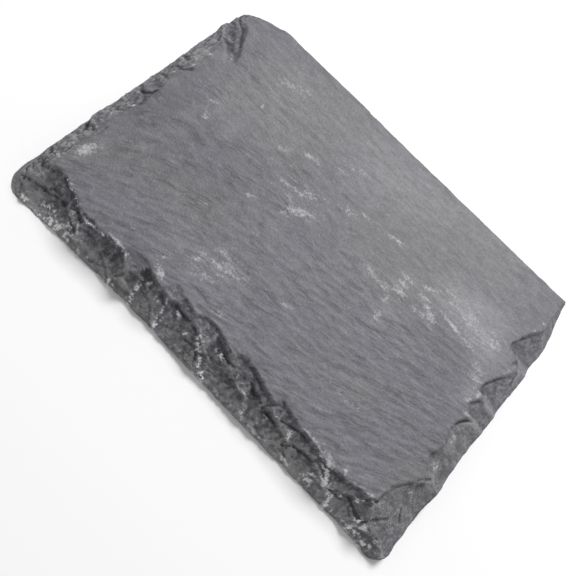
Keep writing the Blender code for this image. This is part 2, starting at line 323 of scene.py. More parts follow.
# Cracks and thin steps that open between the layers of the broken stone
CRACKS = (
    Crack(((-137, -90), (-132.5, -89), (-127.5, -88)), 0.8, 1),
    Crack(((-126.5, -88), (-123, -84.5), (-117, -85), (-111, -86.5)), 1.1, 1.3),
    Crack(((-142.5, -86), (-139.5, -93), (-137, -98)), 0.6, 0.9),
    Crack(((-101.5, -86), (-97, -88.5)), 0.8, 1),
    Crack(((-101.5, -91.5), (-97, -93)), 0.8, 1),
    Crack(((-99.5, -94.5), (-96.5, -96.5)), 0.8, 1),
    Crack(((-81.5, -97), (-77, -95)), 0.8, 1),
    Crack(((-28.5, -82.5), (-25, -83), (-20.5, -83.5)), 0.9, 1.4),
    Crack(((-18.5, -83), (-14.5, -84), (-11, -84.5)), 0.7, 1.1),
    Crack(((-12.5, -91), (-7, -91), (-3, -92.5), (0, -95)), 0.8, 1),
    Crack(((3.5, -89), (9.5, -89), (15, -88), (24, -89)), 0.8, 0.8),
    Crack(((8.5, -83), (13, -85), (18, -84.5)), 0.8, 1.2),
    Crack(((30, -84), (36.5, -86)), 0.8, 1.3),
    Crack(((44.5, -88), (49, -88.5), (53.5, -89)), 0.9, 1.3),
    Crack(((55.5, -87), (63.5, -85), (70.5, -84)), 0.7, 1.1),
    Crack(((65.5, -94), (69.5, -91), (75.5, -89), (85.5, -88.5), (92.5, -91)), 0.7, 1.1),
    Crack(((65.5, -94), (71, -96.5)), 0.7, 1),
    Crack(((63.5, -98.5), (67, -98)), 0.8, 0.8),
    Crack(((99.5, -92.5), (108.5, -92)), 0.7, 1.1),
    Crack(((111.5, -88.5), (116.5, -90), (121.5, -93)), 1, 1.4),
    Crack(((114.5, -92), (118, -95)), 0.6, 0.8),
    Crack(((124, -93.5), (128, -88), (134, -82)), 0.6, 1),
    Crack(((129, -94), (133.5, -94.5), (136.5, -94)), 0.8, 1),
    Crack(((118, -83.5), (122, -81.5)), 0.9, 1.4),
    Crack(((44, -95), (50.5, -97.5), (55.5, -98)), 0.7, 0.8),
    Crack(((-49, -89.5), (-42.5, -90.5)), 0.7, 0.8),
    Crack(((-38.5, -84), (-33.5, -87)), 0.7, 1),
    Crack(((135.5, -8.5), (131.5, -12.5), (129, -17)), 0.6, 1.6),
    Crack(((130, -60.5), (126.5, -65), (122.5, -71)), 0.6, 1.1),
    Crack(((121.7, -75), (121.5, -81.5)), 0.6, 1),
    Crack(((136, -73), (141, -78)), 0.5, 1),
    Crack(((137, -51), (131.5, -57.5)), 0.7, 1.4),
    Crack(((132, 3), (128.5, -2)), 0.8, 2.1),
    Crack(((134.5, 26), (132.5, 21.5), (128, 14)), 0.5, 0.6),
    Crack(((128, 8.5), (131.5, 9.5)), 1, 1.4),
    Crack(((134, 36.5), (135.5, 41)), 0.9, 1.4),
    Crack(((136.5, 40), (139.5, 33), (141, 27)), 0.6, 1.1),
    Crack(((125.5, 46.5), (128, 42.5)), 0.5, 0.9),
    Crack(((133, 61), (131.5, 58), (128.5, 53)), 0.6, 0.6),
    Crack(((127, -41.5), (129.5, -40.5)), 1.2, 1.1),
    Crack(((-138.5, -6), (-135.5, -6), (-132.5, -4), (-131.5, -1)), 0.8, 2.3),
    Crack(((-137.5, -44.5), (-134.5, -46.5)), 0.7, 1.7),
    Crack(((-140.5, -45.5), (-139, -49.5)), 0.8, 1.8),
    Crack(((-130, -41), (-130, -47)), 0.6, 1.1),
    Crack(((-134, -62), (-133, -67.5)), 0.6, 1),
    Crack(((-141, -70.5), (-138.5, -73)), 0.9, 1.4),
    Crack(((-137.5, -79.5), (-135.5, -81.5)), 1.2, 1.6),
    Crack(((-139.5, 20), (-136.5, 22.5), (-132, 22.5), (-129, 25)), 0.8, 2),
    Crack(((-140.5, 31.5), (-137.5, 30.5)), 1, 1.6),
    Crack(((-139.5, 11.5), (-134, 10.5)), 0.9, 1.3),
    Crack(((-138.5, -25.5), (-136.5, -28)), 0.7, 1.3),
    Crack(((-137.5, 59), (-135.5, 54.5)), 0.8, 1.3),
    Crack(((-138.5, 77), (-132.5, 74), (-129, 69.5), (-123, 61.5)), 0.7, 0.9),
    Crack(((-135, 59), (-129, 58), (-121.5, 49.5)), 1, 1.2),
    Crack(((-129, 61.5), (-124.5, 56)), 0.9, 0.9),
)


@dataclass(frozen=True)
class Patch:
    """An oval patch of dust, haze and sheen, painted shade or light, or neutral grey, at a heading in
    degrees.
    """

    x: float
    y: float
    heading: float
    half_length: float
    half_width: float
    amount: float

    def cover(self, x: Array, y: Array) -> Array:
        """How much of the stone it covers: its amount times exp(-r^2), r being 1 at its rim.

        Args:
            x: Places in plan.
            y: Places in plan.

        Returns:
            The covering at each place.
        """
        angle = math.radians(self.heading)
        dx, dy = x - self.x, y - self.y
        along = (dx * math.cos(angle) + dy * math.sin(angle)) / self.half_length
        across = (dy * math.cos(angle) - dx * math.sin(angle)) / self.half_width
        return self.amount * np.exp(-(along**2 + across**2))


def patches(*rows: tuple[float, ...]) -> tuple[Patch, ...]:
    """Make a patch of each row: x, y, heading, half length, half width and amount."""
    return tuple(Patch(*row) for row in rows)


def covered(group: tuple[Patch, ...], x: Array, y: Array) -> Array:
    """Sum of what each patch of a group covers."""
    return sum(patch.cover(x, y) for patch in group)


# Crumbs and smears of stone dust, of which the one that covers most counts
DUST = patches(
    # crumbs and dust on the broken near edge
    (-120.5, -93.5, 20, 5, 2.6, 0.7), (-115.8, -92.2, -20, 4, 1.6, 0.9),
    (-113.8, -95.2, -60, 3, 1.2, 0.9), (-107, -96.6, 4, 18, 4.6, 0.82), (-109.1, -96.5, 45, 5, 3, 0.8),
    (-99.8, -93.9, -35, 7, 3, 0.9), (-99.9, -97.4, 10, 7, 2.6, 0.9), (-119.1, -98.3, 0, 7, 1.8, 0.5),
    (-96, -91.8, -50, 8, 1.1, 0.75), (-93, -86.3, 3, 7, 1.3, 0.66), (-48.2, -85, 0, 2.5, 1.1, 0.9),
    (-81.6, -85.6, 0, 3, 0.9, 0.8), (-73.2, -83.2, -3, 10, 1.4, 1.05),
    (-66.1, -84.6, -40, 2.5, 1.1, 0.95), (-111, -81, -22, 14, 1.3, 0.95),
    (-46, -78.2, -15, 5, 2.4, 1.2), (-50.1, -92.3, -72, 8, 1.5, 0.95),
    (-49.6, -98.3, -60, 2.5, 1.2, 0.8), (-32.5, -86.4, -40, 3, 1, 0.7), (-31, -90.8, -68, 6, 1.5, 1.05),
    (-29.4, -96.1, -76, 5, 1.8, 1), (-27, -98.3, -40, 3, 1.2, 0.7), (-6, -88, -42, 5.5, 1.9, 1.1),
    (-0.3, -92.2, -40, 3.5, 1, 0.8), (2.8, -95.2, -72, 4, 1.1, 0.9), (8, -97.4, -45, 5, 1.3, 0.95),
    (6.6, -84.6, -20, 4.2, 1.5, 1.05), (-24.9, -85, -12, 3.2, 1.3, 1), (-17.5, -84.9, 0, 1.2, 0.6, 0.6),
    (22.5, -86.4, -60, 1.6, 0.9, 0.7), (31, -89.9, -10, 2.4, 1.1, 0.6),
    (31.6, -83.7, -20, 1.6, 0.7, 0.7), (53.6, -86.6, 0, 1.6, 0.9, 0.8), (64.4, -90, -60, 4, 1.4, 0.95),
    (38.7, -95.7, 30, 3, 1.3, 0.5), (70.2, -82.2, -4, 7, 1.1, 0.9), (78.4, -83.3, -14, 6, 1.2, 0.95),
    (87.4, -83, -12, 7, 2, 0.95), (91, -85.3, -50, 3, 1.5, 0.95), (98.3, -82.2, -60, 2.6, 1.4, 1),
    (108.5, -82.6, 6, 7, 1.3, 0.85), (116, -82, 8, 5, 1.2, 0.8), (83.5, -85.6, -20, 3, 1.4, 0.95),
    (91, -88.2, -42, 8, 2.6, 1.15), (95.8, -92.7, -70, 4, 2.2, 1), (88.7, -96.3, 80, 4.4, 2.8, 1.35),
    (98.3, -90.5, 50, 2.5, 0.8, 0.7), (102.6, -94.4, -20, 4, 2, 1), (105.1, -97.5, -70, 3.5, 1.5, 1),
    (107.2, -90.4, 0, 2.4, 1.6, 1), (108.9, -98.8, 0, 2, 1, 0.7), (114.8, -86.6, 50, 3, 1.4, 1),
    (123.5, -93.6, -10, 4.5, 1.8, 1.05), (127, -96.2, -50, 4, 1.8, 1),
    (124.5, -98.6, 0, 4.5, 1.8, 0.95), (-71.9, -99, 0, 2, 1, 0.7), (-132.6, -97.9, 20, 4, 1.5, 0.5),
    (136.6, -96.1, -80, 2.4, 0.8, 0.6), (132, -98, 0, 7, 3, 0.5), (73, -98.5, 0, 6, 1.6, 0.6),
    (62, -87.5, -50, 3, 1.2, 0.8), (-105.5, -88.2, 20, 2.4, 1.2, 0.8), (-38, -88, -30, 3, 1.2, 0.8),
    (-42.5, -91, -60, 2, 0.9, 0.9), (-14.5, -90, 60, 1.6, 0.8, 0.8), (49.5, -91, 80, 4, 0.8, 0.6),
    (35, -95, -40, 5, 1.6, 0.35), (-64.5, -98, 0, 3, 1.2, 0.9),
    # left edge
    (-126, -57.5, 70, 9, 4.6, 0.95), (-132, -68, 80, 6, 1.6, 0.6), (-132.3, -19, 68, 9, 0.9, 0.75),
    (-131, -47, 90, 3, 1.2, 0.6), (-135, 16, 120, 3, 1.2, 0.6), (-133.5, -72, 0, 4, 2, 0.85),
    (-130, 42, 60, 3, 1.4, 0.6), (-130.5, 31, 90, 5, 1.4, 0.6), (-120, 50, 140, 3, 1.2, 0.5),
    (-130.6, 42.2, 0, 1.8, 1.3, 1), (-119.6, 50.6, 60, 1.4, 1.2, 0.8), (-130.8, 28.2, 80, 2.6, 1, 0.9),
    # right edge
    (128.5, 5.5, 100, 3, 1.6, 1.1), (126, -0.5, 60, 2.6, 1.2, 1), (133.5, -22.5, 100, 5, 1.2, 0.7),
    (134.5, -46, 60, 5, 2, 0.6), (133, -63, 90, 4.5, 1, 0.7), (129.5, -8.5, 0, 3, 1.2, 1.1),
    (119, 13, 120, 6, 2.2, 0.7), (134.5, -70, 100, 5, 1, 0.5), (136.5, -81, 120, 4, 1, 0.6),
    (133.6, 73, 80, 3.6, 1.2, 0.8), (131.6, 64.4, 60, 1.6, 1.1, 0.9), (133.8, 31, 80, 3.6, 1.2, 0.7),
    (128.8, 4.8, 100, 2.6, 1.4, 1), (125.6, -1.6, 20, 2.4, 1.3, 0.8),
    # knocks and rubs on the split face
    (53, 27.5, 0, 7, 2.6, 0.85), (52, 22.5, 5, 6, 2.2, 0.8), (54, 17, 15, 8, 3, 0.85),
    (44, 12.5, 8, 11, 2.4, 0.8), (33, 13.5, 5, 8.8, 2.2, 0.7), (51.5, 7.5, 90, 6, 2, 0.65),
    (54.5, -4.5, 80, 4, 2.4, 0.75), (32, 41, 10, 9, 2.6, 0.6), (31, 10.5, 20, 4.5, 1.8, 0.55),
    (68.5, 34, 30, 6, 1.8, 0.95), (68.5, 26, 15, 6, 2.4, 0.85), (68, 15.5, 10, 5, 2, 0.7),
    (77, 18.5, 20, 7.5, 4.6, 0.95), (73, 22.5, 60, 4.5, 2, 0.8), (92, 26, -4, 16, 2, 0.8),
    (105, 25, -6, 8, 2, 0.75), (120, 14, 110, 9, 6, 0.65), (117, 38, 140, 9, 6.4, 0.62),
    (100, 37, 170, 20, 9, 0.56), (84, 38, 160, 12.5, 7.4, 0.52), (0, 32, 10, 9, 3, 0.65),
    (8, 37.5, 10, 7.5, 2.7, 0.55), (10, 22.5, 20, 5, 2.2, 0.55), (16, 49, 20, 7.5, 3.2, 0.52),
    (-105.5, 19.5, 60, 4.4, 2.4, 0.85), (-100.5, 8.5, 120, 4.6, 2.6, 0.8), (-84, 42, 120, 4, 1.4, 0.85),
    (-41, 40, 0, 8, 2, 0.8), (-56, 29.5, 20, 6, 2.4, 0.65), (-39, 15, 0, 7, 2, 0.8),
    (-29, 17, 0, 8, 2.6, 0.8), (-32, 10, -10, 7, 2.6, 0.7), (-21, 7, 30, 8.5, 4.2, 0.98),
    (-13, 12.5, 30, 6.5, 3, 0.75), (-26, 0.5, 60, 3.4, 2, 0.85), (-25, 21, 10, 13, 5, 0.55),
    (-14, 24, 40, 7, 3.2, 0.5), (-77, 70, 20, 12, 4, 0.6), (-84, 66, 30, 7.5, 3.2, 0.65),
    (-18, 56, 10, 15, 3.2, 0.45), (-21, 48, 30, 6.2, 3.2, 0.45), (-47.5, -7.5, 30, 5, 2, 0.7),
    (-20, -8, 40, 2, 1.6, 0.6), (-25, -51, 10, 12, 5.6, 0.78), (-28, -43, 20, 8.5, 4.4, 0.55),
    (-38.5, -57.5, 70, 2.8, 2.1, 0.85), (-29, -61.5, 10, 11, 4.6, 0.55),
    (-59.5, -30, 60, 1.8, 1.4, 0.8), (-51.5, -70.5, 60, 1.6, 1.4, 0.8), (-9, -71.5, 20, 6, 2.6, 0.6),
    (14, -40, 15, 6, 2, 0.6), (74, -54, 8, 12.5, 2.2, 0.5), (82, -52.5, 60, 1.6, 1.4, 0.75),
)

# Wide soft patches where a film of dust and painted sheen make the split face paler
# or, below 0, where it is darker
HAZE_AND_SHEEN = patches(
    (100, 42, 165, 27, 14, 1.25), (106, 35, 160, 20, 7, 0.65), (94, 28.5, 165, 24, 6, 0.35),
    (119, 30, 120, 14, 7, 0.45), (56, 26, 10, 26, 8, 0.25), (84, 41, 165, 13, 6, 0.3),
    (52, 0, 10, 20, 8, 0.2), (4, 62, 0, 24, 9, 0.28), (-76, 40, 0, 24, 12, 0.28),
    (-60, -42, 10, 22, 12, 0.22), (112, -77, 0, 18, 8, 0.35), (-122, -4, 80, 24, 8, -0.5),
    (-60, -79.5, 0, 10, 4, -0.7), (123.8, 1.5, 80, 7, 4.5, 1.1), (-122, 46, 60, 12, 8, 0.3),
    (80, 36, 165, 12, 7, 0.3), (122, 14, 90, 13, 9, 0.3), (5, 78, 0, 40, 16, 0.5),
    (-82, 64, 10, 28, 22, 0.45), (-125, 61, 128, 12, 4, -0.5), (70, 86, 0, 70, 14, 0.35),
    (-25, 10, 10, 20, 8, 0.1), (-32, -55, 10, 22, 8, 0.4), (-126, -58, 80, 9, 5, 0.3),
    (-122, -55, 80, 8, 6, -0.3), (-100, 2, 90, 12, 6, -0.4), (80, 62, 0, 18, 8, -0.2),
    (12, 68, 0, 50, 14, 0.25), (99, 67, 0, 24, 14, 0.3), (-72, -20, 15, 34, 22, -0.4),
    (21, -62, 10, 24, 12, -0.3), (98, -44, 10, 18, 9, 0.18), (92, 12, -2, 20, 7, -0.35),
    (-103, 14, 90, 14, 8, 0.3), (108, 53, 0, 26, 8, 0.4), (127, 51, 80, 10, 6, 0.35),
    (-8, 51, 0, 12, 9, 0.4), (-104, 25, 0, 9, 7, 0.4), (80, 96, 0, 32, 5, 0.45),
    (0, -66, 0, 30, 5, 0.3), (-126, -18, 90, 16, 5, -0.4), (-24, 4, 0, 18, 5, -0.3),
    (62, -53, 0, 14, 4, 0.35), (34, -55, 0, 8, 5, 0.35), (-86, 15, 0, 12, 6, 0.25),
    (64, -2, 0, 17, 10, 0.28), (-52, -58, 0, 30, 9, 0.22),
)

# Painted shade, where the stone is painted darker for shadow under arrises, steps and facets
PAINTED_SHADE_AND_LIGHT = patches(
    (-112, -82.5, -20, 18, 3.6, 0.18), (-113, -88, 10, 10, 3, 0.25), (-131, -90.5, 5, 8, 1.6, 0.25),
    (-76, -88, 0, 16, 4.5, 0.19), (-49, -83.5, -30, 8, 3, 0.2), (-24, -83, -5, 9, 1.8, 0.25),
    (4, -81, -25, 10, 2.6, 0.2), (14, -86, 0, 6, 1.6, 0.25), (30, -80.5, -18, 14, 1.6, 0.2),
    (33, -85.5, -20, 6, 1.6, 0.25), (48, -88.5, 0, 8, 1.8, 0.25), (72, -85, 5, 16, 1.8, 0.2),
    (107, -85, 5, 16, 1.6, 0.2), (116, -90, -30, 6, 2, 0.25), (-133.6, -6, 50, 4.5, 1.3, 0.6),
    (-138, -49, 90, 4, 2, 0.4), (-134.5, -81.5, 0, 2.5, 2, 0.4), (-138, -72, 0, 2.5, 4, 0.3),
    (-134, 21, 20, 4.5, 1.4, 0.4), (-128, 62, 130, 17, 6, 0.34), (-136, -10, 90, 90, 6, 0.1),
    (-57.5, -84, 0, 8, 3.5, 0.3), (-6, -94.5, -10, 10, 4.5, 0.14), (129, -88, 0, 12, 7, 0.22),
    (-135, 14, 90, 8, 5, 0.12), (-131, -12, 90, 12, 4, 0.12), (141, -38, 90, 18, 3.5, 0.12),
    (137, -33, 0, 3.5, 1.8, 0.35), (132.5, -36.5, 45, 3, 1.4, 0.3), (140.5, -44.5, 90, 3, 1.8, 0.3),
    (136, -56, 30, 4, 3, 0.25), (131.5, 53, 65, 12, 3.5, 0.22), (132, 18, 65, 10, 4, 0.18),
    (132.5, -14, 65, 5, 2.5, 0.26), (141, 60, 75, 10, 3, 0.14), (22.5, -84.5, -6, 8, 4, 0.28),
    (0, -82.5, -10, 7, 3, 0.1), (30, -84, -15, 14, 2.6, 0.08), (127, -94, 0, 7, 4.5, 0.18),
    (-134.5, -6, 90, 9, 5, 0.12),
    # painted light, where it is painted paler to lift shade by the foot and under steps
    (115, -83.5, 0, 12, 5, -0.17), (-134, -88, 90, 14, 8, -0.11), (108, -92, 0, 9, 4.5, -0.22),
    (-132, 41, 90, 8, 6, -0.14), (-98, -97, 0, 22, 4.5, -0.45), (-98, -99.5, 0, 34, 3, -0.3),
    (70, -99.5, 0, 30, 2.5, -0.3), (-54, -99, 0, 9, 2.5, -0.2), (140, -62, 90, 8, 4, -0.12),
    (-133, -34, 90, 8, 4, -0.12), (88, -96.5, 0, 30, 4, -0.28), (-41, -90.5, 0, 11, 5, -0.32),
    (15.8, -80.3, -15, 6, 3, -0.6), (-138, -56, 90, 12, 4, -0.16), (-129, 45, 70, 12, 7, -0.28),
    (-133, -95, -30, 11, 7, -0.55), (131, -97.5, 0, 9, 3.5, -0.12),
)

# Drifts where the bed turns from violet grey to a neutral grey or, below 0, stays violet grey
WARM = patches(
    (-68, 62, 0, 32, 34, 1.2), (-38, 78, 0, 30, 12, 1), (45, 60, 0, 38, 34, 1.2),
    (84, 82, 0, 30, 14, 0.9), (36, 24, 0, 36, 15, 1.1), (38, -1, 0, 14, 8, 0.7),
    (-98, 36, 0, 16, 12, 1), (-52, 27, 0, 14, 12, 0.9), (-68, -36, 8, 34, 13, 1.1),
    (-105, -15, 0, 9, 8, 0.8), (-30, -15, 0, 11, 8, 0.7), (-117, -54, 80, 17, 10, 1.05),
    (-45, -59, 0, 12, 8, 0.6), (75, -45, 0, 14, 7, 0.8), (121, -62, 80, 16, 7, 0.8),
    (131, -76, 0, 11, 11, 0.9), (134.5, 62, 80, 30, 5, 0.8), (-134, -10, 90, 90, 6, 0.8),
    (136, -42, 90, 66, 7, 1), (0, -94, 0, 160, 9, 1.1), (-88, -91, 0, 10, 8, -1),
    (-30, -91, 0, 9, 8, -1),
)


# --------------------------------------------------------------------------- outline


@dataclass(frozen=True)
class Corner:
    """A rounded corner of an outline: which one it is, and how far the round reaches each way."""

    right: int
    up: int
    reach_x: float
    reach_y: float

    def press(self, x: Array, y: Array, half_x: float, half_y: float) -> tuple[Array, Array]:
        """Press the square corner into a quarter ellipse.

        Inside the corner's rectangle, with u and v from 0 to 1 towards the corner, u becomes
        u sqrt(1 - v^2 / 2) and v becomes v sqrt(1 - u^2 / 2). The rest of the plan stays.

        Args:
            x: Places in plan.
            y: Places in plan.
            half_x: Half length of the rectangle.
            half_y: Half width of the rectangle.

        Returns:
            The moved places.
        """
        u = np.clip((self.right * x - (half_x - self.reach_x)) / self.reach_x, 0.0, 1.0)
        v = np.clip((self.up * y - (half_y - self.reach_y)) / self.reach_y, 0.0, 1.0)
        return (
            x + self.right * u * (np.sqrt(1.0 - v * v / 2.0) - 1.0) * self.reach_x,
            y + self.up * v * (np.sqrt(1.0 - u * u / 2.0) - 1.0) * self.reach_y,
        )


@dataclass(frozen=True)
class Outline:
    """A closed line round the slab: a rectangle with round corners and sides set in by stations.

    Each side lists how far it stands in from the rectangle at places along it, and runs straight
    between those places.
    """

    corners: tuple[Corner, ...]
    front: Stations
    right: Stations
    back: Stations
    left: Stations
    half_x: float = 150.0
    half_y: float = 100.0
    fade: float = 40.0

    def shape(self, x: Array, y: Array) -> tuple[Array, Array]:
        """Turn the plain rectangle into the outline, and what lies inside with it.

        The corners are pressed round. Then each side is set in by its stations, times the square of
        a share that rises from 0, one fade inside the side, to 1 on it.

        Args:
            x: Places in the plain rectangle.
            y: Places in the plain rectangle.

        Returns:
            The moved places.
        """
        for corner in self.corners:
            x, y = corner.press(x, y, self.half_x, self.half_y)
        share_x = np.clip((np.abs(x) - self.half_x) / self.fade + 1.0, 0.0, 1.0) ** 2
        share_y = np.clip((np.abs(y) - self.half_y) / self.fade + 1.0, 0.0, 1.0) ** 2
        set_x = np.where(x > 0.0, -np.interp(y, *zip(*self.right)), np.interp(y, *zip(*self.left)))
        set_y = np.where(y > 0.0, -np.interp(x, *zip(*self.back)), np.interp(x, *zip(*self.front)))
        return x + share_x * set_x, y + share_y * set_y


# Outline of the underside
FOOT = Outline(
    corners=(Corner(-1, -1, 10.5, 15), Corner(1, -1, 8, 8), Corner(1, 1, 4, 4), Corner(-1, 1, 16, 16)),
    front=((-150, -0.2), (-140, -0.6), (-49, 1.6), (-10, 0.6), (62, -0.4), (116, -0.4), (133, -0.9),
           (140, -2.2), (147, -1.2)),
    right=((-100, 0.4), (-40, 0.0), (20, 0.3), (72, 0.3), (86, 2.4), (100, 5.0)),
    back=((-150, 2.2), (150, 2.2)),
    left=((-100, 0.6), (-70, 0.4), (-20, 0.0), (30, 0.3), (70, 0.0), (100, 1.0)),
)
# Outline of the top, which stands in from it
CROWN = Outline(
    corners=(Corner(-1, -1, 12, 13), Corner(1, -1, 9, 9), Corner(1, 1, 1, 1), Corner(-1, 1, 34, 27)),
    front=((-150, 0.0), (-140, -0.4), (-49, 1.8), (-10, 0.8), (62, -0.2), (116, -0.2), (133, -0.7),
           (140, -2.0), (147, -1.0)),
    right=((-100, 1.0), (-85, 2.6), (-40, 4.6), (66, 4.6), (75, 6.4), (86, 9.3), (95, 12.2),
           (100, 12.8)),
    back=((-150, 7.6), (-130, 7.2), (-118, 6.2), (-114.5, 4.8), (-38, 4.4), (-36, 4.9), (40, 4.6),
          (150, 3.8)),
    left=((-100, 5.4), (-90, 7.0), (-82, 8.4), (-50, 7.9), (-20, 7.2), (60, 7.4), (100, 7.2)),
)


# --------------------------------------------------------------------------- dust and tone


@dataclass(frozen=True)
class Dusting:
    """How stone dust gathers on broken stone, on top of its patches."""

    crumbs: float = 0.08
    drifts: float = 0.35
    foot: float = 0.36
    ridges: float = 0.15
    hollows: float = -0.8

    def cover(self, x: Array, y: Array, broken: Array, ridge: Array) -> Array:
        """Covering of dust.

        The patch that covers most counts. Broken stone has crumbs all over and drifts where noise
        says so, and more dust by the foot of the near edge and on its ridges. Its hollows lose
        most of what they have, so that they stay dark as painted shade.

        Args:
            x: Places of the points in plan.
            y: Places of the points in plan.
            broken: 1 on broken stone.
            ridge: Ridges above 0 and hollows below it.

        Returns:
            The covering at each point.
        """
        dust = np.zeros_like(x)
        for patch in DUST:
            dust = np.maximum(dust, patch.cover(x, y))
        dust += broken * (self.crumbs + self.drifts * np.clip(fractal(x, y, 14.0, 2, 71), 0.0, 1.0))
        dust += self.foot * rise(y, -94.0, -100.0) * broken
        dust += self.ridges * np.clip(ridge, 0.0, 1.0) * broken
        # hollows lose their dust and stay dark as painted shade
        return dust * (1.0 + self.hollows * np.clip(-2.0 * ridge, 0.0, 1.0) * broken)


@dataclass(frozen=True)
class Toning:
    """How much paler each cause makes the stone, where 0 is its deepest colour and 1 its palest."""

    plain: float = 0.5
    haze_and_sheen: float = 0.24
    # a film of dust on the split face, with painted sheen
    dust: float = 0.12
    broken: float = 0.12
    # paler on crushed ridges, and darker in hollows as painted shade
    broken_ridge_and_hollow_shade: float = 0.30
    broken_dust: float = 0.16
    # painted light: paler towards the foot of the near edge, lifting the shade there
    broken_foot_painted_light: float = 0.12
    # painted shade: darker by the depth of the cracks
    crack: float = -0.14

    def tone(self, x: Array, y: Array, broken: Array, ridge: Array, dust: Array, crack: Array) -> Array:
        """Tone of the stone: its plain tone plus what each cause adds.

        Haze with its painted sheen, and dust, count on the split face. Ridges with painted shade in
        their hollows, dust, painted light by the foot of the near edge and the patches of painted
        shade and light count on broken stone, and the painted shade of cracks everywhere.

        Args:
            x: Places of the points in plan.
            y: Places of the points in plan.
            broken: 1 on broken stone.
            ridge: Ridges above 0 and hollows below it.
            dust: The covering of dust.
            crack: Depth of the cracks in millimetres.

        Returns:
            The tone at each point.
        """
        tone = self.plain + (self.haze_and_sheen * covered(HAZE_AND_SHEEN, x, y) + self.dust * dust) * (1.0 - broken)
        paler = self.broken + self.broken_ridge_and_hollow_shade * ridge + self.broken_dust * dust
        # patches above 0 are painted shade, those below 0 painted light
        tone += broken * (paler - covered(PAINTED_SHADE_AND_LIGHT, x, y))
        tone += broken * self.broken_foot_painted_light * rise(y, -92.0, -99.0)
        return tone + self.crack * crack


# --------------------------------------------------------------------------- the slab


